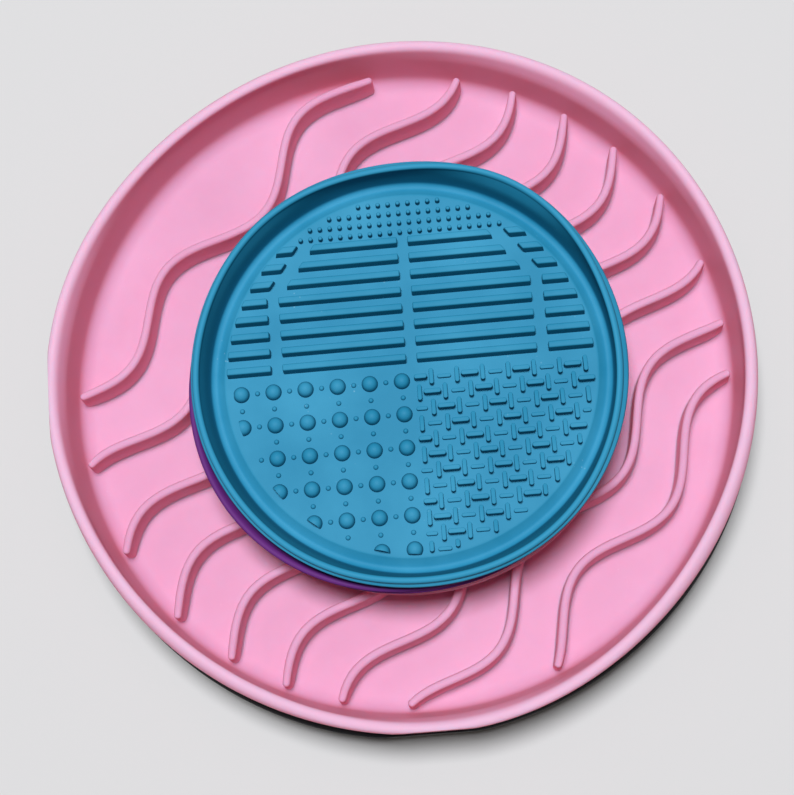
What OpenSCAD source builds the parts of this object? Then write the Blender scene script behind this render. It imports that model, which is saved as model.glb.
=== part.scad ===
// Nested set of silicone feeding dishes: two wide slow feeder bowls with wave ridges,
// and three small lick trays with four fields of relief, stacked loose in the upper bowl.
// Millimetres, +Z up, origin under the middle of the lowest bowl.

/* [Wide bowls] */
// Outer diameter over the rim
bowl_d = 250; // [220:1:300]
// Height from the underside to the top of the rim
bowl_h = 22.5; // [20:0.5:35]
// Thickness of the floor
bowl_floor = 2.5; // [1.5:0.1:4]
// Thickness of the wall
bowl_wall = 1.5; // [1:0.1:2.5]
// Width of the round rim bead
bowl_bead = 4.6; // [3:0.1:6]
// Radius of the hollow between floor and wall
bowl_cove = 1.6; // [0.5:0.1:4]
// Radius of the outer edge under the floor
bowl_foot_round = 2.4; // [1:0.1:4]
// Gap between the walls of two nested bowls
bowl_nest_gap = 1.5; // [0.4:0.1:2]

/* [Wave ridges] */
// Number of ridges across a bowl
ridge_count = 9; // [5:1:11]
// Height of a ridge above the floor
ridge_h = 12; // [5:0.5:14]
// Width of a ridge
ridge_w = 3.4; // [2:0.1:5]
// Distance between ridges in the middle of the bowl
ridge_pitch = 22.8; // [18:0.1:28]
// How much closer each next ridge stands
ridge_closing = 0.71; // [0:0.01:1]
// Distance of the middle ridge from the centre
ridge_offset = 11; // [-12:0.1:12]
// Swing of the wave to either side
ridge_swing = 7.1; // [0:0.1:9]
// Length of one wave
ridge_wave = 74.8; // [50:0.1:120]
// Start of the wave, in degrees
ridge_phase = 182; // [0:1:360]
// Direction of the ridges, in degrees
ridge_turn = 48.3; // [0:0.1:90]
// Opening of the ridges over 100 mm of their length, in percent
ridge_spread = 3.8; // [0:0.1:6]
// Space left between a ridge end and the hollow at the wall
ridge_end_gap = 0.2; // [0.1:0.1:10]

/* [Small trays] */
// Outer diameter over the lip
tray_d = 151; // [140:1:170]
// Height from the underside to the top of the rim
tray_h = 11.5; // [10.5:0.5:18]
// Thickness of the floor in the moat
tray_floor = 2.2; // [1.2:0.1:3]
// Thickness of the wall
tray_wall = 1; // [0.8:0.1:2]
// Width of the round rim bead
tray_bead = 2.8; // [2:0.1:4]
// Thickness of the lip under the bead
lip_t = 1.4; // [1:0.1:2]
// How far the lip stands out past the bead
lip_out = 0.6; // [0.3:0.1:1.5]
// Radius of the hollow between moat and wall
tray_cove = 2; // [0.5:0.1:3]
// Radius of the outer edge under the floor
tray_foot_round = 2; // [0.5:0.1:3]
// Gap that is left between two nested trays on their closer side
tray_nest_gap = 0.3; // [0.3:0.1:1.5]
// Width of the moat's floor between the raised field and the hollow at the wall
moat_w = 2.1; // [0.5:0.1:10]
// Height of the raised field above the moat
field_h = 1.4; // [0.5:0.1:2]

/* [Relief bars] */
// Number of rows
bar_rows = 8; // [4:1:8]
// Distance between rows
bar_pitch = 6.05; // [5:0.05:6.2]
// Middle of the lowest row above the centre line
bar_start = 4.7; // [3:0.1:5]
// Width of a bar
bar_w = 2.9; // [2:0.1:3.5]
// Height of a bar
bar_h = 3.4; // [2.5:0.1:5]
// Width of the middle channel through the bars
mid_channel = 3.7; // [2:0.1:6]
// Middle of that channel, right of the tray's middle
mid_channel_x = 0.65; // [-2:0.05:2]
// Width of the two side channels
side_channel = 4; // [2:0.1:6]
// Distance of a side channel from the middle
side_channel_x = 46; // [36:0.5:50]
// Height at which the side channels turn inwards
side_channel_bend = 30; // [20:1:36]
// How far a side channel leans inwards above the bend, in degrees
side_channel_lean = 36; // [20:1:45]
// Bare margin between the bars and the edge of the field
bar_margin = 0.6; // [0.3:0.1:3]

/* [Relief pins] */
// Distance between pins
pin_pitch = 3.5; // [2.5:0.05:4]
// Middle of the lowest row above the highest bar row
pin_start = 3.6; // [3:0.1:5]
// Diameter of a pin
pin_d = 1.6; // [1:0.1:2]
// Height of a pin
pin_h = 1.9; // [1:0.1:2.4]
// Bare margin between the pins and the edge of the field
pin_margin = 0.3; // [0.2:0.1:3]

/* [Relief domes] */
// Distance between domes in a row
dome_pitch_x = 11.15; // [9:0.05:14]
// Distance between rows of domes
dome_pitch_y = 11.75; // [9:0.05:14]
// Middle of the first dome, left of the centre line
dome_start_x = 3.3; // [2.9:0.1:5]
// Middle of the first dome, below the centre line
dome_start_y = 3; // [2.9:0.1:4]
// Diameter of a dome
dome_d = 5.7; // [4:0.1:5.8]
// Diameter of the small dots between the domes
dot_d = 1.8; // [1:0.1:2.4]
// Bare margin between the domes and the edge of the field
dome_margin = 1; // [1:0.1:4]

/* [Relief weave] */
// Distance between two dashes of one row
weave_step = 8.85; // [8.6:0.05:11]
// Distance between rows
weave_pitch = 5.45; // [5.2:0.05:7]
// Middle of the first upright dash, right of the centre line
weave_start_x = 6.95; // [5:0.05:8]
// Middle of the first row, below the centre line
weave_start_y = 2.4; // [2.2:0.1:4]
// Length of an upright dash
upright_l = 6; // [4:0.1:6]
// Width of an upright dash
upright_w = 1.6; // [1:0.1:1.8]
// Height of an upright dash
upright_h = 1.8; // [1:0.1:2.4]
// Length of a tall cross dash
tall_l = 6; // [4:0.1:6.2]
// Width of a tall cross dash
tall_w = 2.2; // [1.4:0.1:2.4]
// Height of a tall cross dash
tall_h = 2.4; // [1:0.1:2.6]
// Length of a low cross dash
low_l = 4.8; // [3:0.1:5.5]
// Width of a low cross dash
low_w = 1.3; // [1:0.1:1.6]
// Height of a low cross dash
low_h = 1; // [0.5:0.1:1.6]
// Bare margin between the weave and the edge of the field
weave_margin = 1.3; // [1:0.1:4]
// Space between the weave and the centre line
weave_gap = 0.9; // [0.5:0.1:2]

/* [Stack] */
// Middle of the top tray, right of the bowls' middle
stack_x = 3.9; // [-20:0.1:20]
// Middle of the top tray, behind the bowls' middle
stack_y = -3; // [-20:0.1:20]
// How far the middle tray has slipped to the left of the top tray
middle_slip = 0.6; // [0:0.1:2]
// How far the lower tray has slipped to the left of the middle tray
lower_slip = 0.3; // [0:0.1:2]

/* [Hidden] */
$fn = 96;

black = "#1b1b1d";
pink = "#f4a3cb";
purple = "#5e2478";
teal = "#2f93bd";

// Steps of a rounded edge, and spacing of the points along a ridge
arc_steps = 6;
ridge_step = 4;

// Each dish rests on what stands highest in the dish below it
bowl_pitch = bowl_floor + ridge_h;
tray_pitch = tray_floor + field_h + bar_h;
stack_z = bowl_pitch + bowl_floor + ridge_h;

// Walls lean out just enough for the next dish to sink in without touching
bowl_lean = asin(bowl_wall / bowl_pitch) + atan(bowl_nest_gap / bowl_pitch);
tray_slip = max(middle_slip, lower_slip);
tray_lean = asin(tray_wall / tray_pitch) + atan((tray_slip + tray_nest_gap) / tray_pitch);

bowl_r = bowl_d / 2;
bowl_rim_z = bowl_h - bowl_bead / 2;
bowl_rim_r = bowl_r - bowl_bead;
bowl_foot_r = bowl_rim_r - tan(bowl_lean) * (bowl_rim_z - bowl_floor);
ridge_end_r = bowl_foot_r - cove_reach(bowl_cove, bowl_lean) - ridge_end_gap;

// Share by which the ridges open for each millimetre of their length
percent = 1 / 100;
spread_length = 100;
ridge_opening = ridge_spread * percent / spread_length;

tray_r = tray_d / 2;
tray_rim_z = tray_h - tray_bead / 2;
tray_rim_r = tray_r - lip_out - tray_bead;
tray_foot_r = tray_rim_r - tan(tray_lean) * (tray_rim_z - tray_floor);

// The lip is sunk into the underside of the bead by this depth
lip_sink = lip_t / 4;
lip_z = tray_rim_z - tray_bead / 2 - lip_sink;

// The raised field fills the floor up to the moat, with a bevel as wide as it is high
field_r = tray_foot_r - cove_reach(tray_cove, tray_lean) - moat_w - field_h;
field_z = tray_floor + field_h;

// Rows of pins fill the field behind the bars
pin_y = bar_start + (bar_rows - 1) * bar_pitch + pin_start;
pin_reach = field_r - pin_margin - pin_d / 2;
pin_rows = floor((pin_reach - pin_y) / pin_pitch) + 1;

// A dome is left out once its middle passes the edge by more than this share of its width
dome_keep = 1 / 8;

weave_rows = floor((field_r - weave_margin - weave_start_y) / weave_pitch) + 1;
weave_columns = ceil(field_r / weave_step) + 1;

// Which dashes of a row a kind takes: all of them, or every other one
every_dash = -1;
even_dashes = 0;
odd_dashes = 1;

// How far a rounded corner reaches in from where floor and wall would meet
function cove_reach(r, lean) = r * (1 - sin(lean)) / cos(lean);

// Rounded corner between a level face at height z and a wall that leans out from radius x
function corner(x, z, r, lean) = [
    for (i = [0:arc_steps])
        let (a = -90 + (90 - lean) * i / arc_steps)
            [x - cove_reach(r, lean) + r * cos(a), z + r + r * sin(a)]
];

function reversed(list) = [for (i = [len(list) - 1:-1:0]) list[i]];

// Half section of a dish: flat underside, leaning wall, hollow corner and floor
module dish_section(foot_r, rim_z, floor_t, wall, lean, cove, foot_round, floor_points) {
    out = wall / cos(lean);
    base_r = foot_r - tan(lean) * floor_t + out;
    rim_r = foot_r + tan(lean) * (rim_z - floor_t);
    polygon(concat(
        [[0, 0]],
        corner(base_r, 0, foot_round, lean),
        [[rim_r + out, rim_z], [rim_r, rim_z]],
        reversed(corner(foot_r, floor_t, cove, lean)),
        floor_points
    ));
}

module bowl() {
    rotate_extrude() {
        dish_section(bowl_foot_r, bowl_rim_z, bowl_floor, bowl_wall, bowl_lean, bowl_cove,
                     bowl_foot_round, [[0, bowl_floor]]);
        translate([bowl_r - bowl_bead / 2, bowl_rim_z]) circle(d = bowl_bead);
    }
}

// Distance of ridge k from the centre, and its line at length s along the ridges
function ridge_base(k) =
    let (j = k - (ridge_count - 1) / 2)
        ridge_offset + ridge_pitch * j - ridge_closing * j * j / 2;
function ridge_line(k, s) =
    ridge_base(k) * (1 + ridge_opening * s) + ridge_swing * sin(360 * s / ridge_wave + ridge_phase);
function ridge_slope(k, s) =
    ridge_base(k) * ridge_opening
    + ridge_swing * (2 * PI / ridge_wave) * cos(360 * s / ridge_wave + ridge_phase);
function ridge_side(k, s, side) =
    let (n = norm([1, ridge_slope(k, s)]))
        [s - side * ridge_slope(k, s) / n, ridge_line(k, s) + side / n];

module ridge_plan(k) {
    steps = ceil(bowl_r / ridge_step);
    along = [for (i = [-steps:steps]) i * ridge_step];
    polygon(concat(
        [for (s = along) ridge_side(k, s, -ridge_w / 2)],
        [for (s = reversed(along)) ridge_side(k, s, ridge_w / 2)]
    ));
}

module bowl_ridges() {
    for (k = [0:ridge_count - 1])
        translate([0, 0, bowl_floor])
            linear_extrude(ridge_h)
                intersection() {
                    circle(r = ridge_end_r);
                    rotate(ridge_turn + 180) ridge_plan(k);
                }
}

module tray() {
    rotate_extrude() {
        dish_section(tray_foot_r, tray_rim_z, tray_floor, tray_wall, tray_lean, tray_cove,
                     tray_foot_round, [[field_r + field_h, tray_floor], [field_r, field_z], [0, field_z]]);
        translate([tray_r - lip_out - tray_bead / 2, tray_rim_z]) circle(d = tray_bead);
        translate([tray_r - lip_t / 2, lip_z]) circle(d = lip_t);
        translate([tray_r - lip_out - tray_bead / 2, lip_z - lip_t / 2])
            square([lip_out + tray_bead / 2 - lip_t / 2, lip_t]);
    }
}

// Plan of one side channel: upright beside the lower rows, leaning in beside the upper ones
module side_channel_plan() {
    bend = [side_channel_x, side_channel_bend];
    half = side_channel / 2;
    rise = field_r - side_channel_bend;
    lean_in = rise * tan(side_channel_lean);
    corner_rise = half * tan(side_channel_lean / 2);
    foot = -field_r;
    polygon([
        [side_channel_x - half, foot],
        [side_channel_x + half, foot],
        bend + [half, corner_rise],
        bend + [half / cos(side_channel_lean) - lean_in, rise],
        bend + [-half / cos(side_channel_lean) - lean_in, rise],
        bend + [-half, -corner_rise]
    ]);
}

module tray_bars() {
    translate([0, 0, field_z])
        linear_extrude(bar_h)
            difference() {
                intersection() {
                    circle(r = field_r - bar_margin);
                    for (row = [0:bar_rows - 1])
                        translate([-field_r, bar_start + row * bar_pitch - bar_w / 2])
                            square([2 * field_r, bar_w]);
                }
                translate([mid_channel_x - mid_channel / 2, 0]) square([mid_channel, field_r]);
                side_channel_plan();
                mirror([1, 0]) side_channel_plan();
            }
}

module tray_pins() {
    for (row = [0:pin_rows - 1]) {
        y = pin_y + row * pin_pitch;
        half_count = floor(sqrt(pin_reach * pin_reach - y * y) / pin_pitch);
        for (i = [-half_count:half_count])
            translate([i * pin_pitch, y, field_z]) cylinder(d = pin_d, h = pin_h);
    }
}

// Upper half of a ball, cut off where it passes the given radius of the tray
module cut_ball(x, y, d, limit_r) {
    distance = norm([x, y]);
    if (distance < limit_r + d * dome_keep)
        translate([0, 0, field_z])
            intersection() {
                translate([x, y, 0]) sphere(d = d);
                translate([x - d, y - d, 0]) cube([2 * d, 2 * d, d]);
                if (distance + d / 2 > limit_r) cylinder(r = limit_r, h = d);
            }
}

module tray_domes() {
    limit = field_r - dome_margin;
    dot_limit = limit - dot_d;
    columns = ceil(field_r / dome_pitch_x);
    rows = ceil(field_r / dome_pitch_y);
    for (i = [0:columns], j = [0:rows]) {
        x = -dome_start_x - i * dome_pitch_x;
        y = -dome_start_y - j * dome_pitch_y;
        cut_ball(x, y, dome_d, limit);
        if (norm([x - dome_pitch_x / 2, y]) < dot_limit)
            cut_ball(x - dome_pitch_x / 2, y, dot_d, limit);
        if (norm([x, y - dome_pitch_y / 2]) < dot_limit)
            cut_ball(x, y - dome_pitch_y / 2, dot_d, limit);
    }
}

// Plan of a dash with round ends, lying along X
module dash(l, w) {
    square([l - w, w], center = true);
    for (side = [-1, 1]) translate([side * (l - w) / 2, 0]) circle(d = w);
}

module weave_area() {
    intersection() {
        circle(r = field_r - weave_margin);
        translate([weave_gap, -field_r]) square([field_r, field_r + upright_l / 2 - weave_start_y]);
    }
}

// Dashes of one kind: each row is shifted by half a step, and tall and low ones take turns
module weave_kind(taken, l, w, turn, h) {
    shift = taken == every_dash ? 0 : weave_step / 2;
    translate([0, 0, field_z])
        linear_extrude(h)
            intersection() {
                weave_area();
                for (row = [0:weave_rows - 1], i = [-weave_rows:weave_columns])
                    if (taken == every_dash || (i + 2 * weave_rows + 1) % 2 == taken)
                        translate([
                            weave_start_x + shift + (i + row / 2) * weave_step,
                            -weave_start_y - row * weave_pitch
                        ])
                            rotate(turn) dash(l, w);
            }
}

module tray_weave() {
    weave_kind(every_dash, upright_l, upright_w, 90, upright_h);
    weave_kind(even_dashes, tall_l, tall_w, 0, tall_h);
    weave_kind(odd_dashes, low_l, low_w, 0, low_h);
}

module in_wave_bowl() { translate([0, 0, bowl_pitch]) children(); }
module in_top() { translate([stack_x, stack_y, stack_z + 2 * tray_pitch]) children(); }
module in_middle() { translate([stack_x - middle_slip, stack_y, stack_z + tray_pitch]) children(); }
module in_lower() { translate([stack_x - middle_slip - lower_slip, stack_y, stack_z]) children(); }

module base_bowl() { color(black) bowl(); }
module base_bowl_ridges() { color(black) bowl_ridges(); }
module wave_bowl() { color(pink) in_wave_bowl() bowl(); }
module wave_bowl_ridges() { color(pink) in_wave_bowl() bowl_ridges(); }
module lower_tray() { color(pink) in_lower() tray(); }
module lower_tray_bars() { color(pink) in_lower() tray_bars(); }
module lower_tray_pins() { color(pink) in_lower() tray_pins(); }
module lower_tray_domes() { color(pink) in_lower() tray_domes(); }
module lower_tray_weave() { color(pink) in_lower() tray_weave(); }
module middle_tray() { color(purple) in_middle() tray(); }
module middle_tray_bars() { color(purple) in_middle() tray_bars(); }
module middle_tray_pins() { color(purple) in_middle() tray_pins(); }
module middle_tray_domes() { color(purple) in_middle() tray_domes(); }
module middle_tray_weave() { color(purple) in_middle() tray_weave(); }
module top_tray() { color(teal) in_top() tray(); }
module top_tray_bars() { color(teal) in_top() tray_bars(); }
module top_tray_pins() { color(teal) in_top() tray_pins(); }
module top_tray_domes() { color(teal) in_top() tray_domes(); }
module top_tray_weave() { color(teal) in_top() tray_weave(); }

base_bowl();
base_bowl_ridges();
wave_bowl();
wave_bowl_ridges();
lower_tray();
lower_tray_bars();
lower_tray_pins();
lower_tray_domes();
lower_tray_weave();
middle_tray();
middle_tray_bars();
middle_tray_pins();
middle_tray_domes();
middle_tray_weave();
top_tray();
top_tray_bars();
top_tray_pins();
top_tray_domes();
top_tray_weave();
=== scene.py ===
# %% [markdown]
# # A nested set of silicone feeding dishes
#
# Five soft dishes lie in one another: a wide black bowl, a wide pink one with wave ridges, and three
# small lick trays in pink, purple and teal. Each dish is one moulding, so the lesson turns a dish first,
# then sets its ridges or relief on the floor, and at the end makes the silicone and the light.
#
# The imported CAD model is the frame. It says where every dish stands and how big it is, and the pieces
# made here take the place of its plain solids.

# %% Load the frame
import math

import bmesh
import bpy
from mathutils import Euler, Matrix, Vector


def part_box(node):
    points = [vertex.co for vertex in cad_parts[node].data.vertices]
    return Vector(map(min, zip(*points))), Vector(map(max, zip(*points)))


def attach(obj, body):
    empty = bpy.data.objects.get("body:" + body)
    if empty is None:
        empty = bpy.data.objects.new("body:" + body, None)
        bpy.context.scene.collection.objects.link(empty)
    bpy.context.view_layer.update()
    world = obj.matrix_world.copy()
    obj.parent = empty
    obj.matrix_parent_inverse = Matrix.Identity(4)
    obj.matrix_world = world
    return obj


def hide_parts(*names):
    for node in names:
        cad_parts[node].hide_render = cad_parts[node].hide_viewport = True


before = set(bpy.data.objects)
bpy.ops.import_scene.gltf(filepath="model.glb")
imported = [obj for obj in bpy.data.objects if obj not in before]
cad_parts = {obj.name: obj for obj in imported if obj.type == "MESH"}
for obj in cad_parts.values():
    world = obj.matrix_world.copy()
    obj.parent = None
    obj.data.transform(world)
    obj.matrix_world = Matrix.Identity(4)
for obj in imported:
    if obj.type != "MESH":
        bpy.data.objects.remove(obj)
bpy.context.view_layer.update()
mm = 0.001


def dish_place(node):
    """The point under the middle of a dish, which is where its own section is drawn from."""
    low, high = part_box(node)
    return Vector(((low.x + high.x) / 2, (low.y + high.y) / 2, low.z))


# %% [markdown]
# ## Camera
#
# The set is seen from almost straight above, a little from the front. A camera could be aimed by eye,
# but here its tilt, turn and roll are written as three angles round the point it looks at. A long lens
# keeps the circles close to round. The focal length is given for an image of 794 by 795 pixels.

# %% Set up the camera
IMAGE_WIDTH = 794
FOCAL_PIXELS = 1900
TILT, TURN, ROLL = 13.84, 9.64, -14.31
LOOK_AT = Vector((-1.92, -9.22, 37.0)) * mm
DISTANCE = 664.2 * mm

bpy.ops.object.camera_add()
camera = bpy.context.object
turn = Euler((0, 0, math.radians(TURN))).to_matrix()
tilt = Euler((math.radians(TILT), 0, 0)).to_matrix()
roll = Euler((0, 0, math.radians(ROLL))).to_matrix()
facing = turn @ tilt @ roll
camera.rotation_euler = facing.to_euler()
camera.location = LOOK_AT + facing @ Vector((0, 0, DISTANCE))
camera.data.sensor_fit = "HORIZONTAL"
camera.data.lens = camera.data.sensor_width * FOCAL_PIXELS / IMAGE_WIDTH
bpy.context.scene.camera = camera
print("camera at", [round(x, 3) for x in camera.location])

# %% [markdown]
# ## Working by hand, in code
#
# Blender's operators act on whatever is selected. So each step first clears the selection, then picks
# what it needs by place, and only then calls the operator. These helpers keep that in one spot.


# %% Helpers for selecting and copying
def clear_selection():
    if bpy.context.object and bpy.context.object.mode != "OBJECT":
        bpy.ops.object.mode_set(mode="OBJECT")
    bpy.ops.object.select_all(action="DESELECT")


def make_active(piece):
    clear_selection()
    piece.select_set(True)
    bpy.context.view_layer.objects.active = piece


def start_edit(piece, kind="FACE"):
    """Open one piece in edit mode with everything in it selected."""
    make_active(piece)
    bpy.ops.object.mode_set(mode="EDIT")
    bpy.ops.mesh.select_mode(type=kind)
    bpy.ops.mesh.select_all(action="SELECT")


def end_edit():
    bpy.ops.mesh.select_all(action="SELECT")
    bpy.ops.mesh.normals_make_consistent(inside=False)
    bpy.ops.object.mode_set(mode="OBJECT")


def pick_vertices(piece, wanted):
    """In edit mode, select the vertices for which wanted(place) is true, and no others."""
    bpy.ops.mesh.select_mode(type="VERT")
    bpy.ops.mesh.select_all(action="DESELECT")
    shape = bmesh.from_edit_mesh(piece.data)
    for vertex in shape.verts:
        vertex.select_set(wanted(vertex.co))
    shape.select_flush(True)
    bmesh.update_edit_mesh(piece.data)


def copy_piece(piece, name, move=(0, 0, 0)):
    """A copy with a mesh of its own, moved and left with its place in its mesh."""
    make_active(piece)
    bpy.ops.object.duplicate(linked=False)
    twin = bpy.context.object
    twin.name = name
    twin.data.name = name
    twin.location = move
    bpy.ops.object.transform_apply(location=True, rotation=True, scale=True)
    return twin


def join_pieces(pieces, name):
    make_active(pieces[0])
    for piece in pieces:
        piece.select_set(True)
    bpy.ops.object.join()
    joined = bpy.context.object
    joined.name = name
    joined.data.name = name
    return joined


def remove_piece(piece):
    make_active(piece)
    bpy.ops.object.delete()


def smooth(piece, angle):
    """Round faces shade smoothly, and edges sharper than the angle stay crisp."""
    make_active(piece)
    bpy.ops.object.shade_smooth_by_angle(angle=math.radians(angle))


# %% [markdown]
# ## Turning a dish
#
# A dish is round, so half of its section says all there is to know. Spinning that section round the
# middle would do it. Extruding works as well and needs no merging afterwards: a disc is raised ring by
# ring along the section, up the outside, over the rim, and down to the floor inside.


# %% Helpers for sections and for turning
def arc(centre, radius, start, end, steps):
    """Points of a round stretch of a section, from one angle to another in degrees."""
    angles = [math.radians(start + (end - start) * i / steps) for i in range(steps + 1)]
    return [(centre[0] + radius * math.cos(a), centre[1] + radius * math.sin(a)) for a in angles]


def straight(start, end, steps):
    """Points between two ends of a straight stretch, without the ends."""
    return [
        (start[0] + (end[0] - start[0]) * i / steps, start[1] + (end[1] - start[1]) * i / steps)
        for i in range(1, steps)
    ]


def corner_reach(radius, lean):
    """How far a rounded corner reaches in from where floor and leaning wall would meet."""
    return radius * (1 - math.sin(lean)) / math.cos(lean)


def corner(x, z, radius, lean, steps):
    """Rounded corner from a level face at height z up into a wall that leans out from x."""
    centre = (x - corner_reach(radius, lean), z + radius)
    return arc(centre, radius, -90, -math.degrees(lean), steps)


def raise_rings(name, section, sides, turned=0):
    """A disc that is raised ring by ring along a section of radius and height."""
    first_r, first_z = section[0]
    clear_selection()
    bpy.ops.mesh.primitive_circle_add(
        vertices=sides, radius=first_r, fill_type="NGON",
        location=(0, 0, first_z), rotation=(0, 0, turned),
    )
    piece = bpy.context.object
    piece.name = name
    bpy.ops.object.transform_apply(location=True, rotation=True, scale=True)
    start_edit(piece)
    for (r0, z0), (r1, z1) in zip(section, section[1:]):
        bpy.ops.mesh.extrude_region_move(TRANSFORM_OT_translate={"value": (0, 0, z1 - z0)})
        bpy.ops.transform.resize(value=(r1 / r0, r1 / r0, 1), center_override=(0, 0, 0))
    end_edit()
    return piece


def turn_dish(name, section, segments):
    dish = raise_rings(name, section, segments)
    print(name, "has", len(dish.data.polygons), "faces")
    return dish


# %% [markdown]
# ## The wide bowl
#
# The bowl has a thin floor and a low wall that leans out, so that a second bowl sinks into it. A fat
# round bead runs along the top. Two rings close together at the edge of the floor keep the shading of
# the big flat disc level.

# %% Turn the wide bowl
low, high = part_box("wave_bowl")
BOWL_R = (high.x - low.x) / 2
BOWL_H = high.z - low.z
BOWL_PITCH = low.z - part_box("base_bowl")[0].z
BOWL_FLOOR = 2.5 * mm
BOWL_WALL = 1.5 * mm
BOWL_BEAD_R = 2.3 * mm
BOWL_COVE = 6 * mm
BOWL_FOOT_ROUND = 2.4 * mm
BOWL_NEST_GAP = 1.5 * mm
BOWL_BEAD_FROM = -118
BOWL_SEGMENTS = 256
BOWL_OUTSIDE_STEPS, BOWL_INSIDE_STEPS = 8, 10
BOWL_BEAD_STEPS, BOWL_COVE_STEPS = 22, 10
FOOT_STEPS = 6
EDGE_RING = 0.4 * mm

bowl_lean = math.asin(BOWL_WALL / BOWL_PITCH) + math.atan(BOWL_NEST_GAP / BOWL_PITCH)
bowl_bead = (BOWL_R - BOWL_BEAD_R, BOWL_H - BOWL_BEAD_R)


def wall_line(bead, bead_r, lean, z):
    """Radius at height z of the inner wall, which runs down as a tangent of the rim bead."""
    touch_r = bead[0] - bead_r * math.cos(lean)
    touch_z = bead[1] + bead_r * math.sin(lean)
    return touch_r - (touch_z - z) * math.tan(lean)


def bowl_section():
    lean_deg = math.degrees(bowl_lean)
    thick = BOWL_WALL / math.cos(bowl_lean)
    foot_r = wall_line(bowl_bead, BOWL_BEAD_R, bowl_lean, BOWL_FLOOR)
    base_r = wall_line(bowl_bead, BOWL_BEAD_R, bowl_lean, 0) + thick
    under = corner(base_r, 0, BOWL_FOOT_ROUND, bowl_lean, FOOT_STEPS)
    bead = arc(bowl_bead, BOWL_BEAD_R, BOWL_BEAD_FROM, 180 - lean_deg, BOWL_BEAD_STEPS)
    cove = corner(foot_r, BOWL_FLOOR, BOWL_COVE, bowl_lean, BOWL_COVE_STEPS)[::-1]
    floor_edge = (cove[-1][0] - EDGE_RING, BOWL_FLOOR)
    return (
        under
        + straight(under[-1], bead[0], BOWL_OUTSIDE_STEPS)
        + bead
        + straight(bead[-1], cove[0], BOWL_INSIDE_STEPS)
        + cove
        + [floor_edge, (floor_edge[0] - EDGE_RING, BOWL_FLOOR)]
    )


pink_bowl = turn_dish("pink_bowl", bowl_section(), BOWL_SEGMENTS)
black_bowl = copy_piece(pink_bowl, "black_bowl")

# %% [markdown]
# ## Soft rims
#
# Silicone this thin never keeps a true circle. The rim bulges at a few places and is drawn in between.
# Sculpting could do that, but a sum of a few waves round the rim is easier to steer: each wave has a
# count, a size and the angle of its crest. The push grows with height, so the floor stays true. Nothing
# is pushed past the room that the frame gives.


# %% Push the rims of the wide bowls
def soft_push(angle, waves):
    return sum(size * math.cos(count * (angle - math.radians(crest))) for count, size, crest in waves)


def soften_rim(dish, waves, from_z, to_z, limit):
    largest = 0
    for vertex in dish.data.vertices:
        share = min(1, max(0, (vertex.co.z - from_z) / (to_z - from_z)))
        weight = share * share * (3 - 2 * share)
        push = weight * soft_push(math.atan2(vertex.co.y, vertex.co.x), waves)
        vertex.co.xy *= 1 + push / max(vertex.co.xy.length, mm)
        vertex.co.x = min(limit, max(-limit, vertex.co.x))
        vertex.co.y = min(limit, max(-limit, vertex.co.y))
        largest = max(largest, abs(push))
    print(dish.name, "rim pushed up to", round(largest / mm, 2), "mm")


PINK_RIM_WAVES = (
    (1, 0.65 * mm, 96),
    (2, 0.45 * mm, 53),
    (3, 1.5 * mm, 45),
    (4, 0.56 * mm, 89),
    (5, 0.14 * mm, 65),
    (6, 0.19 * mm, 45),
)
BLACK_RIM_WAVES = (
    (1, 0.9 * mm, 262),
    (3, 0.7 * mm, 40),
    (4, 0.3 * mm, 80),
)
RIM_LIMIT = BOWL_R - 0.02 * mm
soften_rim(pink_bowl, PINK_RIM_WAVES, BOWL_PITCH + BOWL_FLOOR, BOWL_H, RIM_LIMIT)
soften_rim(black_bowl, BLACK_RIM_WAVES, BOWL_PITCH + BOWL_FLOOR, BOWL_H, RIM_LIMIT)

# %% [markdown]
# ## Wave ridges
#
# Nine ridges cross the floor of a wide bowl. Each has a drafted side, a rounded top and round noses.
# A curve with a bevel profile would make a tube along a wave, but its noses would be cut off. Here one
# straight ridge is made first: a round peg is raised in rings, pulled apart into a bar and cut across
# many times. Copies of it are then laid along the waves.

# %% Make one straight ridge
RIDGE_H = 12 * mm
RIDGE_FOOT = 3.7 * mm
RIDGE_TOP = 3.2 * mm
RIDGE_ROUND = 1.45 * mm
RIDGE_FILLET = 0.35 * mm
RIDGE_SINK = 0.2 * mm
RIDGE_ROUND_STEPS = 6
RIDGE_CUTS = 72
PEG_SIDES = 16
HALF = 0.5


def raise_peg(name, section, sides):
    """A round peg with a corner on neither axis, so that it can be pulled apart along X."""
    return raise_rings(name, section, sides, turned=math.pi / sides)


def pull_apart(peg, length):
    """Move the two halves of a peg away from each other, which leaves a bar with round ends."""
    start_edit(peg)
    for side in (-1, 1):
        pick_vertices(peg, lambda place, side=side: place.x * side > 0)
        bpy.ops.transform.translate(value=(side * length / 2, 0, 0))
    end_edit()


def ridge_section():
    foot, top = RIDGE_FOOT / 2, RIDGE_TOP / 2
    wide, third = foot + RIDGE_FILLET, RIDGE_FILLET / 3
    fillet = [(wide, -RIDGE_SINK), (wide, 0), (foot + third, third), (foot, RIDGE_FILLET)]
    shoulder = (top - RIDGE_ROUND, RIDGE_H - RIDGE_ROUND)
    return fillet + arc(shoulder, RIDGE_ROUND, 0, 90, RIDGE_ROUND_STEPS)


straight_ridge = raise_peg("straight_ridge", ridge_section(), PEG_SIDES)
pull_apart(straight_ridge, 2 * HALF)
start_edit(straight_ridge)
for i in range(1, RIDGE_CUTS):
    bpy.ops.mesh.select_all(action="SELECT")
    bpy.ops.mesh.bisect(plane_co=(i / RIDGE_CUTS - HALF, 0, 0), plane_no=(1, 0, 0))
end_edit()
print("straight ridge:", len(straight_ridge.data.polygons), "faces")

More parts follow.
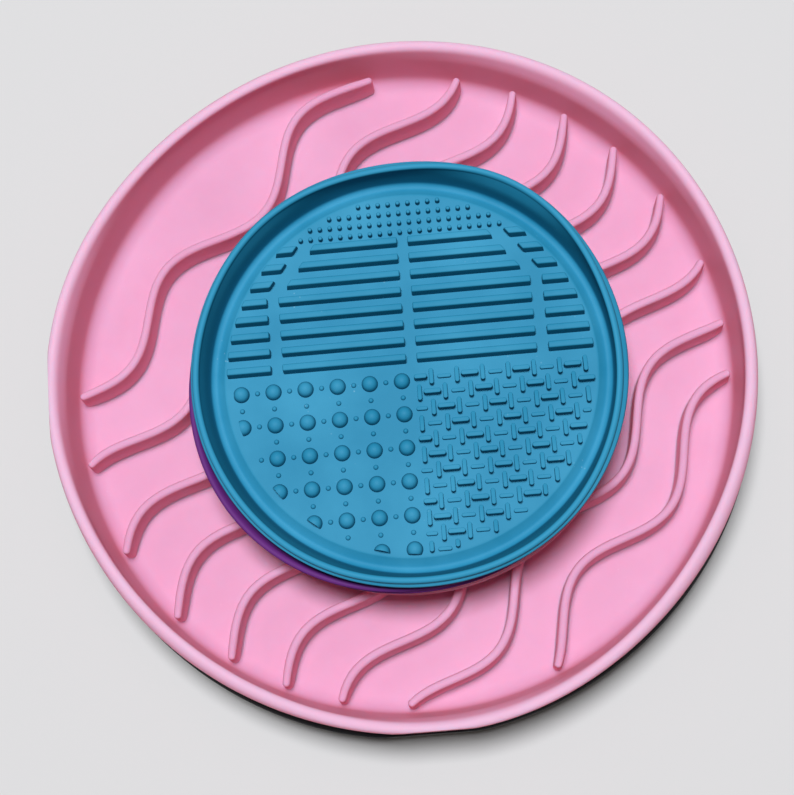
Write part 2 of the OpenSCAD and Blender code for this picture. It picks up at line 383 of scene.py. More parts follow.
# %% [markdown]
# The middle line of each ridge is a sine wave. The ridges stand closer together towards one side and fan
# out a little along their length. A ridge ends where its line comes near the wall. Each vertex of the
# straight ridge says how far along and across it lies, so it can be set beside the wave at that place.
# Towards both ends the ridge gets slimmer and a little lower.

# %% Lay nine ridges along their waves
RIDGE_COUNT = 9
RIDGE_PITCH = 22.8 * mm
RIDGE_CLOSING = 0.71 * mm
RIDGE_OFFSET = 11 * mm
RIDGE_SWING = 7.1 * mm
RIDGE_WAVE = 74.8 * mm
RIDGE_PHASE = math.radians(182)
RIDGE_TURN = math.radians(228.3)
RIDGE_OPENING = 0.38
RIDGE_END_R = 116.2 * mm
END_STEP = 0.25 * mm
NOSE_LENGTH = 9 * mm
NOSE_WIDTH = 0.88
NOSE_DROP = 0.12


def ridge_base(k):
    j = k - (RIDGE_COUNT - 1) / 2
    return RIDGE_OFFSET + RIDGE_PITCH * j - RIDGE_CLOSING * j * j / 2


def ridge_line(k, s):
    """Place and slope of ridge k at length s along the ridges, before they are turned."""
    phase = 2 * math.pi * s / RIDGE_WAVE + RIDGE_PHASE
    t = ridge_base(k) * (1 + RIDGE_OPENING * s) + RIDGE_SWING * math.sin(phase)
    slope = ridge_base(k) * RIDGE_OPENING + RIDGE_SWING * 2 * math.pi / RIDGE_WAVE * math.cos(phase)
    return t, slope


def ridge_end(k, way):
    """How far ridge k runs from its middle before its nose would pass the end circle."""
    s = 0
    while math.hypot(s, ridge_line(k, s)[0]) < RIDGE_END_R - RIDGE_FOOT / 2:
        s += way * END_STEP
    return s


def lay_ridge(k):
    ridge = copy_piece(straight_ridge, "ridge")
    first, last = ridge_end(k, -1), ridge_end(k, 1)
    for vertex in ridge.data.vertices:
        x, across = vertex.co.x, vertex.co.y
        core = min(HALF, max(-HALF, x))
        s = first + (last - first) * (core + HALF)
        t, slope = ridge_line(k, s)
        along = Vector((1, slope)).normalized()
        aside = Vector((-along.y, along.x))
        fade = max(0, 1 - min(s - first, last - s) / NOSE_LENGTH) ** 2
        slim = 1 - (1 - NOSE_WIDTH) * fade
        vertex.co.xy = Vector((s, t)) + (aside * across + along * (x - core)) * slim
        vertex.co.z *= 1 - NOSE_DROP * fade
    return ridge


pink_bowl_ridges = join_pieces([lay_ridge(k) for k in range(RIDGE_COUNT)], "pink_bowl_ridges")
pink_bowl_ridges.rotation_euler.z = RIDGE_TURN
pink_bowl_ridges.location.z = BOWL_FLOOR
make_active(pink_bowl_ridges)
bpy.ops.object.transform_apply(location=True, rotation=True, scale=True)
start_edit(pink_bowl_ridges)
end_edit()
black_bowl_ridges = copy_piece(pink_bowl_ridges, "black_bowl_ridges")
remove_piece(straight_ridge)
print("ridges per bowl:", RIDGE_COUNT, "faces:", len(pink_bowl_ridges.data.polygons))

# %% [markdown]
# ## The small tray
#
# A small tray is turned like the bowl. Its section has more steps: a thin lip stands out under the rim
# bead, the bead ends in a crease where the wall begins, and inside the wall a narrow moat runs round a
# raised field, which carries the relief.

# %% Turn the small tray
low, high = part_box("top_tray")
TRAY_R = (high.x - low.x) / 2
TRAY_H = high.z - low.z
TRAY_PITCH = low.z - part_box("middle_tray")[0].z
TRAY_FLOOR = 1.0 * mm
TRAY_WALL = 1 * mm
TRAY_BEAD_R = 1.2 * mm
LIP_R = 0.7 * mm
LIP_OUT = 1.0 * mm
TRAY_COVE = 2 * mm
TRAY_FOOT_ROUND = 2 * mm
TRAY_SLIP = 0.6 * mm
TRAY_NEST_GAP = 0.3 * mm
MOAT = 0.6 * mm
FIELD_H = 2.6 * mm
TRAY_SEGMENTS = 224
BEAD_CREASE = 0.1 * mm
TRAY_BEAD_FROM, TRAY_BEAD_TO = -20, 182
LIP_TO = 80
TRAY_OUTSIDE_STEPS, TRAY_INSIDE_STEPS = 4, 6
LIP_STEPS, TRAY_BEAD_STEPS, TRAY_COVE_STEPS = 8, 16, 6

tray_lean = math.asin(TRAY_WALL / TRAY_PITCH) + math.atan((TRAY_SLIP + TRAY_NEST_GAP) / TRAY_PITCH)
tray_bead = (TRAY_R - LIP_OUT - TRAY_BEAD_R, TRAY_H - TRAY_BEAD_R)
tray_lip = (TRAY_R - LIP_R, TRAY_H - 2 * TRAY_BEAD_R - LIP_R / 2)
tray_foot_r = wall_line(tray_bead, TRAY_BEAD_R, tray_lean, TRAY_FLOOR)
field_r = tray_foot_r - corner_reach(TRAY_COVE, tray_lean) - MOAT - FIELD_H
field_z = TRAY_FLOOR + FIELD_H


def tray_section():
    thick = TRAY_WALL / math.cos(tray_lean)
    base_r = wall_line(tray_bead, TRAY_BEAD_R, tray_lean, 0) + thick
    under = corner(base_r, 0, TRAY_FOOT_ROUND, tray_lean, FOOT_STEPS)
    lip_under_z = tray_lip[1] - LIP_R
    lip_root = (wall_line(tray_bead, TRAY_BEAD_R, tray_lean, lip_under_z) + thick, lip_under_z)
    lip = arc(tray_lip, LIP_R, -90, LIP_TO, LIP_STEPS)
    bead = arc(tray_bead, TRAY_BEAD_R, TRAY_BEAD_FROM, TRAY_BEAD_TO, TRAY_BEAD_STEPS)
    crease = (bead[-1][0] + BEAD_CREASE, bead[-1][1] - BEAD_CREASE)
    cove = corner(tray_foot_r, TRAY_FLOOR, TRAY_COVE, tray_lean, TRAY_COVE_STEPS)[::-1]
    bevel = EDGE_RING
    return (
        under
        + straight(under[-1], lip_root, TRAY_OUTSIDE_STEPS)
        + [lip_root]
        + lip
        + bead
        + [crease]
        + straight(crease, cove[0], TRAY_INSIDE_STEPS)
        + cove
        + [(field_r + FIELD_H + bevel, TRAY_FLOOR), (field_r + FIELD_H - bevel / 2, TRAY_FLOOR + bevel / 2)]
        + [(field_r + bevel / 2, field_z - bevel / 2), (field_r - bevel / 2, field_z)]
        + [(field_r - 2 * bevel, field_z), (field_r - 3 * bevel, field_z)]
    )


teal_tray = turn_dish("teal_tray", tray_section(), TRAY_SEGMENTS)
purple_tray = copy_piece(teal_tray, "purple_tray")
rose_tray = copy_piece(teal_tray, "rose_tray")

TEAL_RIM_WAVES = (
    (1, 0.66 * mm, 182),
    (2, 0.44 * mm, 75),
    (3, 0.71 * mm, 53),
    (4, 0.72 * mm, 49),
    (5, 0.25 * mm, 55),
    (6, 0.27 * mm, 1),
)
PURPLE_RIM_WAVES = (
    (0, 0.4 * mm, 0),
    (1, 2.4 * mm, 219),
    (2, 1.3 * mm, 219),
    (3, 0.3 * mm, 219),
)
ROSE_RIM_WAVES = (
    (0, 0.3 * mm, 0),
    (1, 0.8 * mm, 225),
    (2, 0.4 * mm, 235),
)
RIM_FROM = TRAY_PITCH - TRAY_FLOOR
for tray, waves in (
    (teal_tray, TEAL_RIM_WAVES),
    (purple_tray, PURPLE_RIM_WAVES),
    (rose_tray, ROSE_RIM_WAVES),
):
    soften_rim(tray, waves, RIM_FROM, TRAY_H, BOWL_R)

# %% [markdown]
# ## Relief bars
#
# The rear half of the field has eight rows of bars, cut by a middle channel and two side channels that
# lean in towards the back. By hand, one would lay a long bar and cut it where a channel passes. That is
# what bisect does here: it cuts off what lies beyond a plane and closes the cut. The bar is drafted
# before the cuts, and its edges are rounded after them.

# %% Make the bars
BAR_ROWS = 8
BAR_PITCH = 6.05 * mm
BAR_START = 4.7 * mm
BAR_FOOT = 3.3 * mm
BAR_TOP = 2.2 * mm
BAR_BACK = 0.3 * mm
BAR_H = 3.35 * mm
BAR_ROUND = 0.45 * mm
BAR_MARGIN = 1.2 * mm
BAR_SINK = 0.2 * mm
MID_CHANNEL = 3.7 * mm
MID_CHANNEL_X = 0.65 * mm
SIDE_CHANNEL = 4 * mm
SIDE_CHANNEL_X = 46 * mm
SIDE_CHANNEL_BACK = 4.8 * mm
SIDE_CHANNEL_BEND = 30.8 * mm
SIDE_CHANNEL_LEAN = math.radians(36)
BAR_ROUND_STEPS = 3


def cut_off(place, outward):
    """In edit mode, cut off what lies beyond a plane and close the cut."""
    bpy.ops.mesh.select_all(action="SELECT")
    bpy.ops.mesh.bisect(plane_co=place, plane_no=outward, use_fill=True, clear_outer=True)


def channel_edge(y, side, inner):
    """Place and direction of a side channel's edge beside a bar at y, facing away from the bar's middle."""
    leans = y > SIDE_CHANNEL_BEND
    lean = SIDE_CHANNEL_LEAN if leans else 0
    rise = max(0, y - SIDE_CHANNEL_BEND)
    half = (SIDE_CHANNEL_BACK if leans else SIDE_CHANNEL) / 2 / math.cos(lean)
    x = SIDE_CHANNEL_X - rise * math.tan(lean) + (-half if inner else half)
    away = 1 if inner else -1
    direction = Vector((side * math.cos(lean), math.sin(lean), 0)) * away
    return Vector((side * x, y, 0)), direction


def round_bar(bar):
    """Round all edges that don't lie in the foot of the bar."""
    bpy.ops.mesh.select_mode(type="EDGE")
    bpy.ops.mesh.select_all(action="DESELECT")
    shape = bmesh.from_edit_mesh(bar.data)
    for edge in shape.edges:
        edge.select_set(max(v.co.z for v in edge.verts) > field_z + BAR_H / 2)
    bmesh.update_edit_mesh(bar.data)
    bpy.ops.mesh.bevel(offset=BAR_ROUND, segments=BAR_ROUND_STEPS, affect="EDGES", clamp_overlap=True)


def cut_bar(y, ends):
    """One bar of a row: a long drafted bar, cut at its two ends and rounded."""
    clear_selection()
    height = BAR_H + BAR_SINK
    bpy.ops.mesh.primitive_cube_add(
        size=1, location=(0, y, field_z - BAR_SINK + height / 2), scale=(2 * field_r, BAR_FOOT, height)
    )
    bar = bpy.context.object
    bpy.ops.object.transform_apply(location=True, rotation=True, scale=True)
    start_edit(bar)
    pick_vertices(bar, lambda place: place.z > field_z)
    bpy.ops.transform.resize(value=(1, BAR_TOP / BAR_FOOT, 1), center_override=(0, y + BAR_BACK, 0))
    for place, outward in ends:
        cut_off(place, outward)
    round_bar(bar)
    end_edit()
    return bar


def row_bars(row):
    y = BAR_START + row * BAR_PITCH
    edge_r = field_r - BAR_MARGIN
    reach = math.sqrt(edge_r ** 2 - y ** 2)
    bars = []
    for side in (-1, 1):
        inner = channel_edge(y, side, inner=True)
        outer = channel_edge(y, side, inner=False)
        mid_edge = Vector((MID_CHANNEL_X + side * MID_CHANNEL / 2, y, 0))
        rim = Vector((side * reach, y, 0))
        bars.append(cut_bar(y, [inner, (mid_edge, Vector((-side, 0, 0)))]))
        if reach > abs(outer[0].x) + BAR_FOOT / 2:
            bars.append(cut_bar(y, [outer, (rim, rim.normalized())]))
    return bars


all_bars = [bar for row in range(BAR_ROWS) for bar in row_bars(row)]
print("bars on a tray:", len(all_bars))
teal_tray_bars = join_pieces(all_bars, "teal_tray_bars")

# %% [markdown]
# ## Relief pins
#
# Behind the bars stand four short rows of pins. One pin is raised from a circle like the ridge's peg, with
# a rounded head, and copied. There are dozens of them, so each keeps only a few faces.

# %% Make the pins
PIN_PITCH = 3.5 * mm
PIN_START = 3.6 * mm
PIN_FOOT_R = 0.85 * mm
PIN_TOP_R = 0.75 * mm
PIN_H = 2.3 * mm
PIN_ROUND = 0.5 * mm
PIN_REACH = 63.2 * mm
PIN_SIDES = 12
PIN_ROUND_STEPS = 3

pin_shoulder = (PIN_TOP_R - PIN_ROUND, PIN_H - PIN_ROUND)
pin_section = [(PIN_FOOT_R, -BAR_SINK)] + arc(pin_shoulder, PIN_ROUND, 0, 90, PIN_ROUND_STEPS)
one_pin = raise_peg("one_pin", pin_section, PIN_SIDES)
first_pin_y = BAR_START + (BAR_ROWS - 1) * BAR_PITCH + PIN_START
pins = []
y = first_pin_y
while y < PIN_REACH:
    half_count = int(math.sqrt(PIN_REACH ** 2 - y ** 2) / PIN_PITCH)
    for i in range(-half_count, half_count + 1):
        pins.append(copy_piece(one_pin, "pin", (i * PIN_PITCH, y, field_z)))
    y += PIN_PITCH
remove_piece(one_pin)
print("pins on a tray:", len(pins), "inside a field of radius", round(field_r / mm, 2))
teal_tray_pins = join_pieces(pins, "teal_tray_pins")

# %% [markdown]
# ## Relief domes
#
# The left front quarter has half balls in a grid with small dots between them. A ball is cut at the floor,
# and where it would pass the edge of the field it is cut once more, along the edge.

# %% Make the domes and dots
DOME_PITCH_X = 11.15 * mm
DOME_PITCH_Y = 11.75 * mm
DOME_START = Vector((-3.3, -3, 0)) * mm
DOME_R = 2.85 * mm
DOT_R = 0.9 * mm
DOME_MARGIN = 1 * mm
DOME_LIMIT = field_r - DOME_MARGIN
DOT_LIMIT = DOME_LIMIT - 2 * DOT_R
DOME_KEEP = 1 / 4
CUT_MIDDLE = Vector((2.1, 0, 0)) * mm
DOME_SEGMENTS, DOME_RINGS = 28, 16
DOT_SEGMENTS, DOT_RINGS = 12, 8


def half_ball(x, y, radius, segments, rings):
    clear_selection()
    bpy.ops.mesh.primitive_uv_sphere_add(
        radius=radius, segments=segments, ring_count=rings, location=(x, y, field_z)
    )
    ball = bpy.context.object
    bpy.ops.object.transform_apply(location=True, rotation=True, scale=True)
    start_edit(ball)
    cut_off((0, 0, field_z - BAR_SINK), (0, 0, -1))
    flat = Vector((x, y, 0)) - CUT_MIDDLE
    if flat.length + radius > DOME_LIMIT:
        cut_off(CUT_MIDDLE + flat.normalized() * DOME_LIMIT, flat.normalized())
    end_edit()
    return ball


domes, dots = [], []
for i in range(math.ceil(field_r / DOME_PITCH_X)):
    for j in range(math.ceil(field_r / DOME_PITCH_Y)):
        x = DOME_START.x - i * DOME_PITCH_X
        y = DOME_START.y - j * DOME_PITCH_Y
        if (Vector((x, y, 0)) - CUT_MIDDLE).length < DOME_LIMIT + DOME_KEEP * DOME_R:
            domes.append(half_ball(x, y, DOME_R, DOME_SEGMENTS, DOME_RINGS))
        for dot_x, dot_y in ((x - DOME_PITCH_X / 2, y), (x, y - DOME_PITCH_Y / 2)):
            if math.hypot(dot_x, dot_y) < DOT_LIMIT:
                dots.append(half_ball(dot_x, dot_y, DOT_R, DOT_SEGMENTS, DOT_RINGS))
print("domes:", len(domes), "dots:", len(dots))
teal_tray_domes = join_pieces(domes + dots, "teal_tray_domes")

# %% [markdown]
# ## Relief weave
#
# The right front quarter looks woven: upright dashes, and between them cross dashes that are tall and low
# in turn. Each kind is a low peg pulled apart into a dash, as the ridge was, and shortened where it would
# leave its quarter. The upright ones rise to the front along their length, so their back end is pushed down.

# %% Make the weave
WEAVE_STEP = 8.85 * mm
WEAVE_PITCH = 5.45 * mm
WEAVE_START = Vector((6.95, -2.4, 0)) * mm
WEAVE_ROWS = 12
WEAVE_MARGIN = 1.3 * mm
WEAVE_LIMIT = field_r - WEAVE_MARGIN
WEAVE_SIDE = 0.9 * mm
WEAVE_BACK = 0.6 * mm
DASH_SIDES = 10
DASH_TAPER = 0.9
DASH_EDGE = 0.3
DASH_EDGE_STEPS = 3
SHORTEST = 0.5
UPRIGHT = {"length": 6 * mm, "width": 1.7 * mm, "height": 2.8 * mm, "rise": 0.5}
TALL = {"length": 6.2 * mm, "width": 1.9 * mm, "height": 3.2 * mm, "rise": 0}
LOW = {"length": 4.9 * mm, "width": 1.5 * mm, "height": 1.1 * mm, "rise": 0}


def dash_peg(kind):
    radius, height = kind["width"] / 2, kind["height"]
    edge = DASH_EDGE * min(radius, height)
    shoulder = (radius * DASH_TAPER - edge, height - edge)
    section = [(radius, -BAR_SINK)] + arc(shoulder, edge, 0, 90, DASH_EDGE_STEPS)
    return raise_peg("dash_peg", section, DASH_SIDES)


def dash_span(middle, half, low_end, high_end):
    """The stretch of a dash that stays between two ends."""
    return max(middle - half, low_end), min(middle + half, high_end)


def lay_dash(peg, kind, x, y, upright):
    """One dash round (x, y), or nothing where too little of it would stay in its quarter."""
    half = kind["length"] / 2
    if abs(x if upright else y) >= WEAVE_LIMIT:
        return None
    reach = math.sqrt(WEAVE_LIMIT ** 2 - (x if upright else y) ** 2)
    if upright:
        if x - kind["width"] / 2 < WEAVE_SIDE:
            return None
        start, end = dash_span(y, half, -reach, WEAVE_BACK)
    else:
        start, end = dash_span(x, half, WEAVE_SIDE, reach)
    if end - start < SHORTEST * kind["length"]:
        return None
    dash = copy_piece(peg, "dash")
    length = end - start
    pull_apart(dash, length - kind["width"])
    for vertex in dash.data.vertices:
        vertex.co.z *= 1 - kind["rise"] * (HALF + vertex.co.x / length)
    centre = (start + end) / 2
    dash.location = (x, centre, field_z) if upright else (centre, y, field_z)
    dash.rotation_euler.z = math.pi / 2 if upright else 0
    return dash


dashes = []
for kind in (UPRIGHT, TALL, LOW):
    upright = kind is UPRIGHT
    shift = 0 if upright else HALF
    peg = dash_peg(kind)
    for row in range(WEAVE_ROWS):
        for i in range(-WEAVE_ROWS, WEAVE_ROWS):
            is_tall = i % 2 == 1
            if not upright and is_tall != (kind is TALL):
                continue
            x = WEAVE_START.x + (i + row / 2 + shift) * WEAVE_STEP
            y = WEAVE_START.y - row * WEAVE_PITCH
            dash = lay_dash(peg, kind, x, y, upright)
            if dash:
                dashes.append(dash)
    remove_piece(peg)
print("dashes:", len(dashes))
clear_selection()
for dash in dashes:
    dash.select_set(True)
bpy.context.view_layer.objects.active = dashes[0]
bpy.ops.object.transform_apply(location=True, rotation=True, scale=True)
teal_tray_weave = join_pieces(dashes, "teal_tray_weave")
start_edit(teal_tray_weave)
end_edit()

# %% [markdown]
# ## Every dish in its place
#
# So far each dish stands at the origin. The trays share one relief, so it is copied for the two trays
# below. Then each piece is moved to where its dish stands in the frame, rides on that dish's body and
# takes the place of the plain solid.

# %% Place the pieces
SMOOTH_ANGLE = 40
teal_relief = {
    "bars": teal_tray_bars, "pins": teal_tray_pins, "domes": teal_tray_domes, "weave": teal_tray_weave,
}
dishes = {
    "base_bowl": ("base", "black_silicone", {"": black_bowl, "_ridges": black_bowl_ridges}),
    "wave_bowl": ("bowl", "pink_silicone", {"": pink_bowl, "_ridges": pink_bowl_ridges}),
}
for node, slot, tray in (
    ("lower_tray", "pink_silicone", rose_tray),
    ("middle_tray", "purple_silicone", purple_tray),
    ("top_tray", "teal_silicone", teal_tray),
):
    parts = {"": tray}
    for field, piece in teal_relief.items():
        parts["_" + field] = piece if tray is teal_tray else copy_piece(piece, tray.name + "_" + field)
    dishes[node] = (node, slot, parts)

for node, (body, slot, parts) in dishes.items():
    place = dish_place(node)
    for ending, piece in parts.items():
        smooth(piece, SMOOTH_ANGLE)
        piece.location = place
        bpy.ops.object.transform_apply(location=True, rotation=True, scale=True)
        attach(piece, body)
        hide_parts(node + ending)
    print(node, "stands at", [round(x / mm, 1) for x in place], "with", len(parts), "pieces")

# %% [markdown]
# ## Silicone
#
# Moulded silicone is matt and a little soft to the eye. Its colour is even, but never quite flat: broad,
# faint clouds from mixing and handling, a fine grain from the mould, and a few specks of dust that stick
# to it. A painted sheen pales the top of each rim, and painted shade darkens the steep sides to a deeper
# colour, while what lies level keeps the plain one. All five dishes share this, so it is one node group with
# its own inputs, and each colour is a material that uses the group with its own values.
#
# By hand, one would drag nodes into the shader editor and pull wires between them. Most of them do one of
# three things: turn a value into a share, blend two colours by a share, or add or multiply two values. Each
# of these gets a helper that adds the node and pulls its wires.


# %% Helpers for nodes
def add_node(tree, kind, place, **values):
    node = tree.nodes.new(kind)
    node.location = place
    for name, value in values.items():
        setattr(node, name, value)
    return node


def set_inputs(node, **values):
    for name, value in values.items():
        node.inputs[name.replace("_", " ")].default_value = value


def share_of(tree, place, value, between, start=0, end=1, **values):
    """How far a value lies between two others, as a share."""
    node = add_node(tree, "ShaderNodeMapRange", place, **values)
    set_inputs(node, From_Min=between[0], From_Max=between[1], To_Min=start, To_Max=end)
    tree.links.new(value, node.inputs["Value"])
    return node.outputs["Result"]


def blend(tree, place, share, first, second):
    """The first of two colours, giving way to the second as the share grows."""
    node = add_node(tree, "ShaderNodeMix", place, data_type="RGBA")
    for wire, name in ((share, "Factor"), (first, "A"), (second, "B")):
        tree.links.new(wire, node.inputs[name])
    return node.outputs["Result"]


def reckon(tree, place, operation, first, second):
    node = add_node(tree, "ShaderNodeMath", place, operation=operation)
    tree.links.new(first, node.inputs[0])
    tree.links.new(second, node.inputs[1])
    return node.outputs["Value"]


# %% [markdown]
# The group starts with what a colour may choose for itself, and what it hands on to the shader.

# %% Start the silicone group
SKIN_INPUTS = (
    ("Colour", "NodeSocketColor", (0.5, 0.5, 0.5, 1)),
    # Painted shade: the darker colour that steep faces take.
    ("Deep colour", "NodeSocketColor", (0.3, 0.3, 0.3, 1)),
    ("Cloud colour", "NodeSocketColor", (0.5, 0.5, 0.5, 1)),
    ("Dust colour", "NodeSocketColor", (0.8, 0.8, 0.8, 1)),
    ("Dust amount", "NodeSocketFloat", 0.3),
    # Painted sheen: the paler colour towards the top of the rim, and the band of heights it fades in over.
    ("Rim colour", "NodeSocketColor", (0.8, 0.8, 0.8, 1)),
    ("Rim from", "NodeSocketFloat", 0.03),
    ("Rim to", "NodeSocketFloat", 0.04),
    ("Roughness", "NodeSocketFloat", 0.5),
)
SKIN_OUTPUTS = (
    ("Colour", "NodeSocketColor"), ("Roughness", "NodeSocketFloat"), ("Height", "NodeSocketFloat"),
)

skin = bpy.data.node_groups.new("Silicone skin", "ShaderNodeTree")
for name, kind, default in SKIN_INPUTS:
    socket = skin.interface.new_socket(name=name, in_out="INPUT", socket_type=kind)
    socket.default_value = default
for name, kind in SKIN_OUTPUTS:
    skin.interface.new_socket(name=name, in_out="OUTPUT", socket_type=kind)
given = add_node(skin, "NodeGroupInput", (-900, 0))
result = add_node(skin, "NodeGroupOutput", (950, 0))
print("group:", skin.name, "takes", len(SKIN_INPUTS), "inputs and gives", len(SKIN_OUTPUTS))

# %% [markdown]
# Four textures make the skin uneven. They lie in object coordinates, which move along with a dish when it
# is lifted. The patches say where the specks gather.

# %% Add the textures
where = add_node(skin, "ShaderNodeTexCoord", (-900, -300))


def texture(kind, place, **values):
    node = add_node(skin, kind, place)
    set_inputs(node, **values)
    skin.links.new(where.outputs["Object"], node.inputs["Vector"])
    return node


clouds = texture("ShaderNodeTexNoise", (-650, 200), Scale=28, Detail=4, Roughness=0.55)
mould_grain = texture("ShaderNodeTexNoise", (-650, -100), Scale=2600, Detail=2, Roughness=0.6)
specks = texture("ShaderNodeTexVoronoi", (-650, -400), Scale=420, Randomness=1)
patches = texture("ShaderNodeTexNoise", (-650, -700), Scale=60, Detail=3, Roughness=0.6)
print("textures:", [node.name for node in (clouds, mould_grain, specks, patches)])

# %% [markdown]
# The colour is blended in four turns, from the bottom up: clouds, specks of dust, a painted sheen on the rim
# by height, and last a painted shade on what is steep. A normal that points up means that the face is level.

# %% Blend the colour
CLOUD_BETWEEN = (0.35, 0.7)
SPECK_BETWEEN = (0.05, 0.16)
PATCH_BETWEEN = (0.58, 0.72)
SHADE_SLOPE_BETWEEN = (0.2, 0.85)

cloud_share = share_of(skin, (-400, 200), clouds.outputs["Fac"], CLOUD_BETWEEN)
clouded = blend(skin, (-150, 200), cloud_share, given.outputs["Colour"], given.outputs["Cloud colour"])

speck_share = share_of(skin, (-400, -400), specks.outputs["Distance"], SPECK_BETWEEN, start=1, end=0)
patch_share = share_of(skin, (-400, -700), patches.outputs["Fac"], PATCH_BETWEEN)
dust = reckon(skin, (-150, -500), "MULTIPLY", speck_share, patch_share)
dust_share = reckon(skin, (50, -500), "MULTIPLY", dust, given.outputs["Dust amount"])
dusted = blend(skin, (250, 150), dust_share, clouded, given.outputs["Dust colour"])

# Painted sheen: the rim is painted paler towards its top, by height.
spot = add_node(skin, "ShaderNodeSeparateXYZ", (-650, -1000))
skin.links.new(where.outputs["Object"], spot.inputs["Vector"])
rim_sheen_share = share_of(skin, (50, -800), spot.outputs["Z"], (0, 1))
skin.links.new(given.outputs["Rim from"], rim_sheen_share.node.inputs["From Min"])
skin.links.new(given.outputs["Rim to"], rim_sheen_share.node.inputs["From Max"])
sheened = blend(skin, (480, 150), rim_sheen_share, dusted, given.outputs["Rim colour"])

# Painted shade: steep faces are painted in a darker colour, and level faces keep the plain one.
slope = add_node(skin, "ShaderNodeSeparateXYZ", (-650, -1200))
skin.links.new(where.outputs["Normal"], slope.inputs["Vector"])
unshaded_share = share_of(
    skin, (250, -1000), slope.outputs["Z"], SHADE_SLOPE_BETWEEN, interpolation_type="SMOOTHSTEP"
)
shaded = blend(skin, (700, 150), unshaded_share, given.outputs["Deep colour"], sheened)
skin.links.new(shaded, result.inputs["Colour"])
print("colour blended in", sum(node.bl_idname == "ShaderNodeMix" for node in skin.nodes), "turns")

# %% [markdown]
# The clouds also make the skin a little rougher here and smoother there. The grain goes out as a height,
# which each material turns into a bump.

# %% Finish the group
RUB = 0.06

rub = share_of(skin, (-150, 0), clouds.outputs["Fac"], (0, 1), start=-RUB, end=RUB)
rough = reckon(skin, (250, 0), "ADD", given.outputs["Roughness"], rub)
skin.links.new(rough, result.inputs["Roughness"])
skin.links.new(mould_grain.outputs["Fac"], result.inputs["Height"])
print("group:", skin.name, "with", len(skin.nodes), "nodes")

# %% [markdown]
# A colour seen on a screen is in sRGB, and the shader works in linear light, so the colours are written
# as on the screen and converted. The cloud colour is the same silicone a touch lighter.


# %% Make one material for each colour
def linear(red, green, blue):
    """The standard sRGB curve, from screen values up to 255 to linear light."""
    def one(value):
        share = value / 255
        return share / 12.92 if share <= 0.04045 else ((share + 0.055) / 1.055) ** 2.4
    return (one(red), one(green), one(blue), 1)


SHEEN = 0.22
GRAIN_DEPTH = 0.1 * mm
DEPTH_RADIUS = (1.0, 0.3, 0.35)
DEPTH_SCALE = 4 * mm


def silicone(name, sheen_band, colour, painted_shade, cloud, rim, dust, dust_amount, roughness, grain, depth):
    """One colour of silicone. A painted sheen pales its rim within a band of heights, painted shade darkens
    its steep sides, and depth lets light in.
    """
    material = bpy.data.materials.new(name)
    material.use_nodes = True
    tree = material.node_tree
    shader = tree.nodes["Principled BSDF"]
    looks = add_node(tree, "ShaderNodeGroup", (-600, 200), node_tree=skin)
    set_inputs(
        looks, Colour=linear(*colour), Deep_colour=linear(*painted_shade), Cloud_colour=linear(*cloud),
        Rim_colour=linear(*rim), Rim_from=sheen_band[0], Rim_to=sheen_band[1],
        Dust_colour=linear(*dust), Dust_amount=dust_amount, Roughness=roughness,
    )
    bump = add_node(tree, "ShaderNodeBump", (-300, -200))
    set_inputs(bump, Strength=grain, Distance=GRAIN_DEPTH)
    tree.links.new(looks.outputs["Colour"], shader.inputs["Base Color"])
    tree.links.new(looks.outputs["Roughness"], shader.inputs["Roughness"])
    tree.links.new(looks.outputs["Height"], bump.inputs["Height"])
    tree.links.new(bump.outputs["Normal"], shader.inputs["Normal"])
    set_inputs(
        shader, Specular_IOR_Level=SHEEN, Subsurface_Weight=depth,
        Subsurface_Radius=DEPTH_RADIUS, Subsurface_Scale=DEPTH_SCALE,
    )
    return material


BOWL_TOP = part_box("wave_bowl")[1].z
TRAY_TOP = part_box("top_tray")[1].z
# The painted sheen on the rims fades in over this band below the top.
RIM_SHEEN_BAND = 2.5 * mm
bowl_sheen_band = (BOWL_TOP - RIM_SHEEN_BAND, BOWL_TOP)
tray_sheen_band = (TRAY_TOP - RIM_SHEEN_BAND, TRAY_TOP)
# In each colour, the second colour is painted shade for steep sides, and the rim colour is a painted sheen
# near the top of the rim.
silicones = {
    "black_silicone": silicone(
        "Black silicone", bowl_sheen_band, colour=(30, 30, 32), painted_shade=(24, 24, 26), cloud=(38, 38, 41),
        rim=(40, 40, 42), dust=(120, 118, 116), dust_amount=0.5, roughness=0.62, grain=0.2, depth=0,
    ),
    "pink_silicone": silicone(
        "Pink silicone", bowl_sheen_band, colour=(231, 165, 194), painted_shade=(224, 140, 160), cloud=(236, 173, 201),
        rim=(244, 193, 214), dust=(246, 222, 234), dust_amount=0.25, roughness=0.62, grain=0.12, depth=0.6,
    ),
    "purple_silicone": silicone(
        "Purple silicone", tray_sheen_band, colour=(98, 36, 115), painted_shade=(84, 28, 100), cloud=(108, 44, 124),
        rim=(108, 44, 124), dust=(190, 160, 200), dust_amount=0.3, roughness=0.6, grain=0.15, depth=0,
    ),
    "teal_silicone": silicone(
        "Teal silicone", tray_sheen_band, colour=(36, 138, 172), painted_shade=(9, 99, 127), cloud=(58, 155, 188),
        rim=(48, 150, 184), dust=(150, 200, 218), dust_amount=0.6, roughness=0.62, grain=0.5, depth=0,
    ),
}
for node, (body, slot, parts) in dishes.items():
    for piece in parts.values():
        piece.data.materials.clear()
        piece.data.materials.append(silicones[slot])
print("materials:", sorted(silicones))

# %% [markdown]
# ## Light and floor
#
# One soft lamp, high up and a little behind the set, gives the short shadows at the foot of the ridges and
# bars. It is a wide disc far away, so that the shadows have soft edges and the light is even.

# %% Hang the lamp
KEY_AZIMUTH, KEY_ELEVATION = math.radians(108), math.radians(85.5)
KEY_DISTANCE = 4
KEY_SIZE = 1.25
KEY_COLOUR = (0.95, 1.0, 1.1)
KEY_SHARE = 0.98

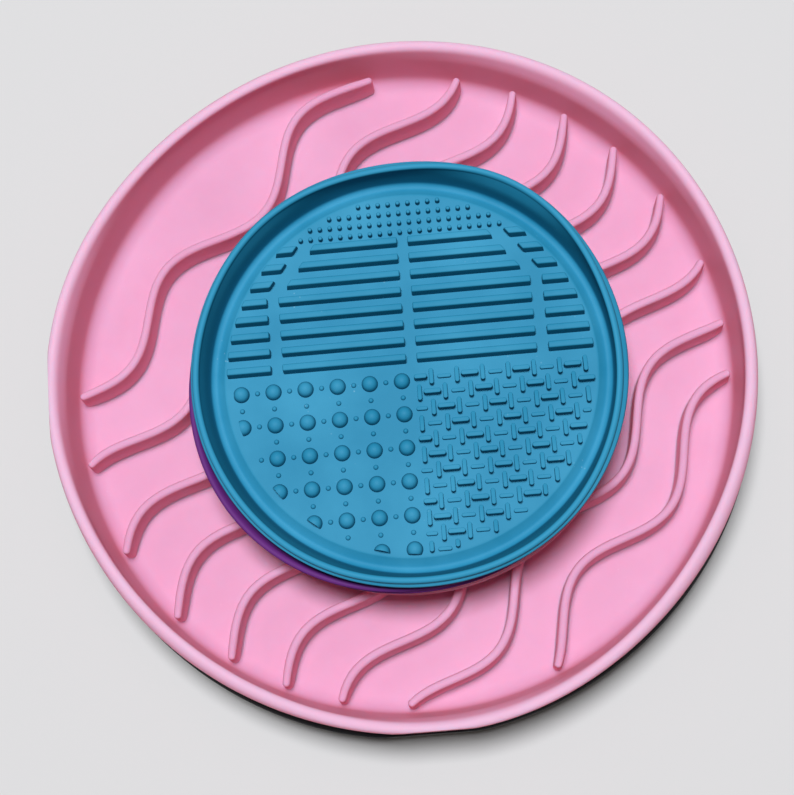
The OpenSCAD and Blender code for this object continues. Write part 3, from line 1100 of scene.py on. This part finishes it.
level = math.cos(KEY_ELEVATION) * KEY_DISTANCE
clear_selection()
bpy.ops.object.light_add(
    type="AREA",
    location=(
        level * math.cos(KEY_AZIMUTH), level * math.sin(KEY_AZIMUTH), KEY_DISTANCE * math.sin(KEY_ELEVATION)
    ),
)
key = bpy.context.object
key.data.shape = "DISK"
key.data.size = KEY_SIZE
key.data.color = KEY_COLOUR
key.data.energy = math.pi ** 2 * KEY_SHARE * KEY_DISTANCE ** 2 / math.sin(KEY_ELEVATION)
key.rotation_euler = (-key.location).to_track_quat("-Z", "Y").to_euler()
print("key lamp:", round(key.data.energy, 1), "W")

# %% [markdown]
# A weak warm sky fills the shadows, much as light that has gone through the silicone would. What the camera
# itself sees past the floor is a pale backdrop that lights nothing: the Light Path node tells the two apart.

# %% Fill in with the sky
SKY_SHARE = 0.09
SKY_COLOUR = (1.0, 0.9, 0.9, 1)
BACKDROP_COLOUR = (0.74, 0.73, 0.72, 1)

world = bpy.data.worlds.new("Even sky")
bpy.context.scene.world = world
world.use_nodes = True
sky_tree = world.node_tree
sky = sky_tree.nodes["Background"]
set_inputs(sky, Color=SKY_COLOUR, Strength=SKY_SHARE)
backdrop = add_node(sky_tree, "ShaderNodeBackground", (0, -200))
set_inputs(backdrop, Color=BACKDROP_COLOUR)
rays = add_node(sky_tree, "ShaderNodeLightPath", (0, 500))
seen = add_node(sky_tree, "ShaderNodeMixShader", (250, 200))
sky_tree.links.new(rays.outputs["Is Camera Ray"], seen.inputs["Fac"])
sky_tree.links.new(sky.outputs["Background"], seen.inputs[1])
sky_tree.links.new(backdrop.outputs["Background"], seen.inputs[2])
sky_tree.links.new(seen.outputs["Shader"], sky_tree.nodes["World Output"].inputs["Surface"])
print("sky:", world.name, "at a strength of", SKY_SHARE)

# %% [markdown]
# The floor is plain, pale and matt. It is only a stage for the set. The Standard
# view shows the colours as they are, without a film curve.

# %% Lay the floor
FLOOR_SIZE = 12
FLOOR_COLOUR = (0.74, 0.71, 0.66, 1)
FLOOR_ROUGHNESS = 0.9

clear_selection()
bpy.ops.mesh.primitive_plane_add(size=FLOOR_SIZE, location=(0, 0, 0))
floor = bpy.context.object
floor.name = "pale_floor"
pale = bpy.data.materials.new("Pale floor")
pale.use_nodes = True
set_inputs(pale.node_tree.nodes["Principled BSDF"], Base_Color=FLOOR_COLOUR, Roughness=FLOOR_ROUGHNESS)
floor.data.materials.append(pale)
bpy.context.scene.view_settings.view_transform = "Standard"
print("floor:", FLOOR_SIZE, "m wide")
